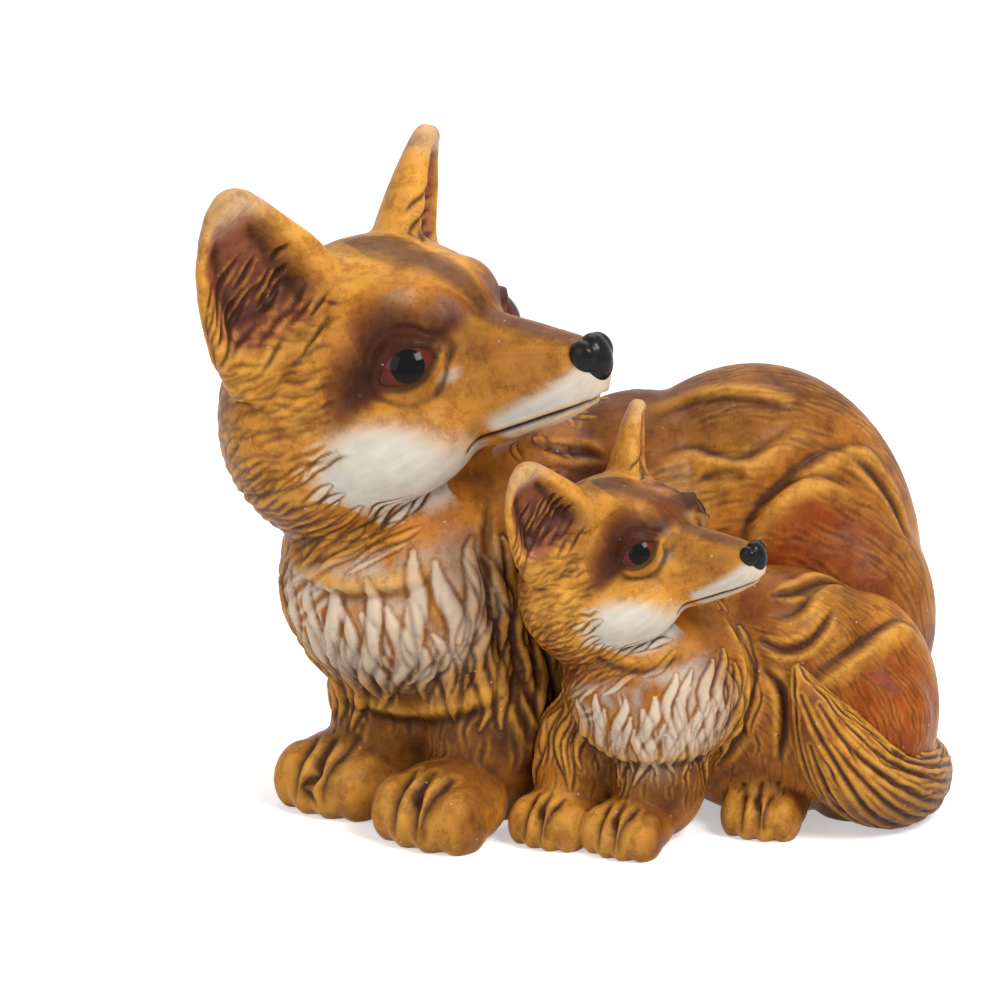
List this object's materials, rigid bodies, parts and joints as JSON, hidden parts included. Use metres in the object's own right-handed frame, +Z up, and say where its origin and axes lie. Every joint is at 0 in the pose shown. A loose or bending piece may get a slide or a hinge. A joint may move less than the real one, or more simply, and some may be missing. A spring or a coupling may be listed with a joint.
{
  "type": "fox figurine",
  "caption": "Painted cast ornament of a resting vixen with her cub against her flank, both looking over their shoulders; it stands flat on a shelf.",
  "frame": {"origin": "middle of the group's box at the surface that the paws stand on", "axes": "+Z up, +X the way both muzzles point, -Y the side with the cub, which a viewer stands on"},
  "size_m": [0.2058, 0.1486, 0.1882],
  "materials": {
    "painted_casting": "ochre and russet hand painting over a dark wash, cream cheeks and chest, satin varnish",
    "eye_enamel": "black pupil in a red-brown iris under clear gloss",
    "nose_enamel": "black gloss paint"
  },
  "bodies": {
    "root": {"vixen_head": "painted_casting", "vixen_right_ear": "painted_casting", "vixen_left_ear": "painted_casting", "vixen_right_eye": "eye_enamel", "vixen_left_eye": "eye_enamel", "vixen_nose": "nose_enamel", "vixen_chest": "painted_casting", "vixen_right_foreleg": "painted_casting", "vixen_left_foreleg": "painted_casting", "vixen_body": "painted_casting", "vixen_haunch": "painted_casting", "vixen_tail": "painted_casting", "cub_head": "painted_casting", "cub_right_ear": "painted_casting", "cub_left_ear": "painted_casting", "cub_right_eye": "eye_enamel", "cub_left_eye": "eye_enamel", "cub_nose": "nose_enamel", "cub_chest": "painted_casting", "cub_right_foreleg": "painted_casting", "cub_left_foreleg": "painted_casting", "cub_body": "painted_casting", "cub_haunch": "painted_casting", "cub_hind_paw": "painted_casting", "cub_tail": "painted_casting"}
  },
  "joints": []
}
